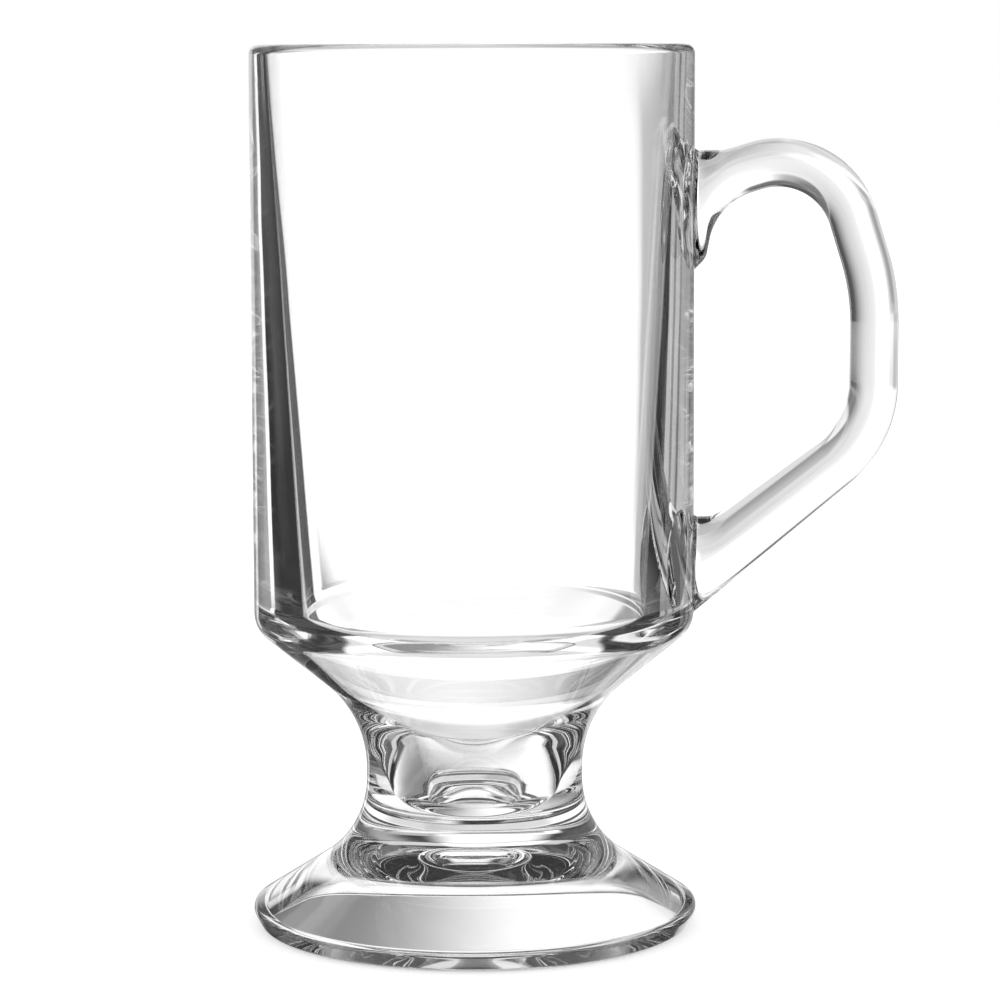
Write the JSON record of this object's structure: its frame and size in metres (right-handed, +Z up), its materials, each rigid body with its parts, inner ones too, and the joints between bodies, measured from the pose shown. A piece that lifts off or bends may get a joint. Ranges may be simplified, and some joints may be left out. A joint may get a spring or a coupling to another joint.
{
  "type": "irish coffee glass mug",
  "caption": "Footed clear glass mug for hot drinks: a straight bowl drawn in through a funnel to a short stem, a flared foot and an open ear handle.",
  "frame": {"origin": "centre of the resting ring under the foot, on the axis of the bowl, in the plane of the table", "axes": "+Z up along the axis of the bowl, +X towards the handle, +Y completing the frame; the mug is the same on both sides of the XZ plane"},
  "size_m": [0.1072, 0.074, 0.146],
  "materials": {
    "clear_glass": "clear pressed soda-lime glass, fire-polished"
  },
  "bodies": {
    "root": {"bowl": "clear_glass", "stem": "clear_glass", "foot": "clear_glass", "handle": "clear_glass"}
  },
  "joints": []
}
